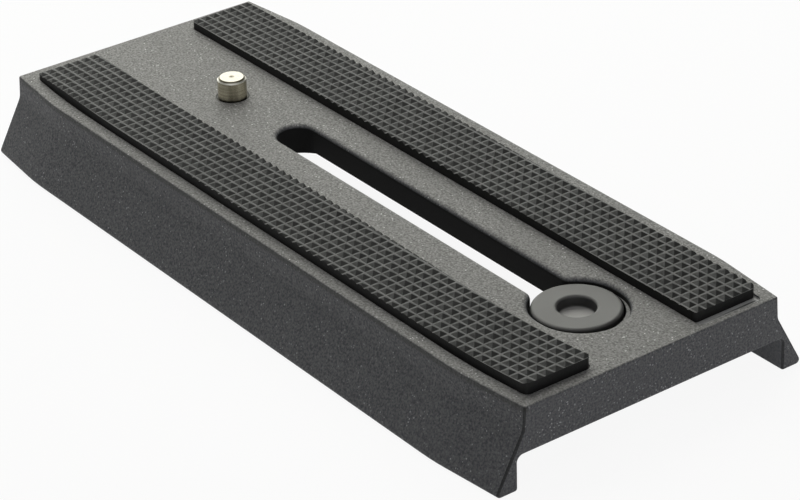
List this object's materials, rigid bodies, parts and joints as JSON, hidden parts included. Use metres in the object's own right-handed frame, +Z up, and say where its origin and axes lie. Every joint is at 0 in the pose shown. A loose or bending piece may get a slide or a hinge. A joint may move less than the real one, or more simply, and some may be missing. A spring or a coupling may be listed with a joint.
{
  "type": "long sliding quick release plate",
  "caption": "Long dovetail camera plate with tapered ends, pyramid-pattern rubber strips, a screw slot with a round plug and a sprung anti-twist pin.",
  "frame": {"origin": "centre of the plate's plan, at the bottom of the rails", "axes": "+X along the plate towards the plug's end, +Y across it, +Z up towards the camera"},
  "size_m": [0.14, 0.0614, 0.0171],
  "materials": {
    "textured_coat": "matt grey powder coat with a fine metallic sparkle on die-cast alloy",
    "pad_rubber": "black moulded rubber, satin, with small four-sided pyramids",
    "pin_plating": "bright warm plating",
    "spring_steel": "drawn spring wire",
    "cap_steel": "plain pressed steel disc",
    "plug_plastic": "smooth grey moulding"
  },
  "bodies": {
    "plate": {"plate_casting": "textured_coat", "near_pad": "pad_rubber", "far_pad": "pad_rubber", "pin_retaining_cap": "cap_steel", "slot_plug": "plug_plastic", "pin_spring": "spring_steel"},
    "pin": {"anti_twist_pin": "pin_plating"}
  },
  "joints": [
    {"name": "pin_press", "type": "slide", "parent": "plate", "child": "pin", "axis": [0, 0, -1], "range_m": [0, 0.00375], "stiffness_N_per_m": 300, "springref_m": -0.006, "deforming": ["pin_spring"]}
  ]
}
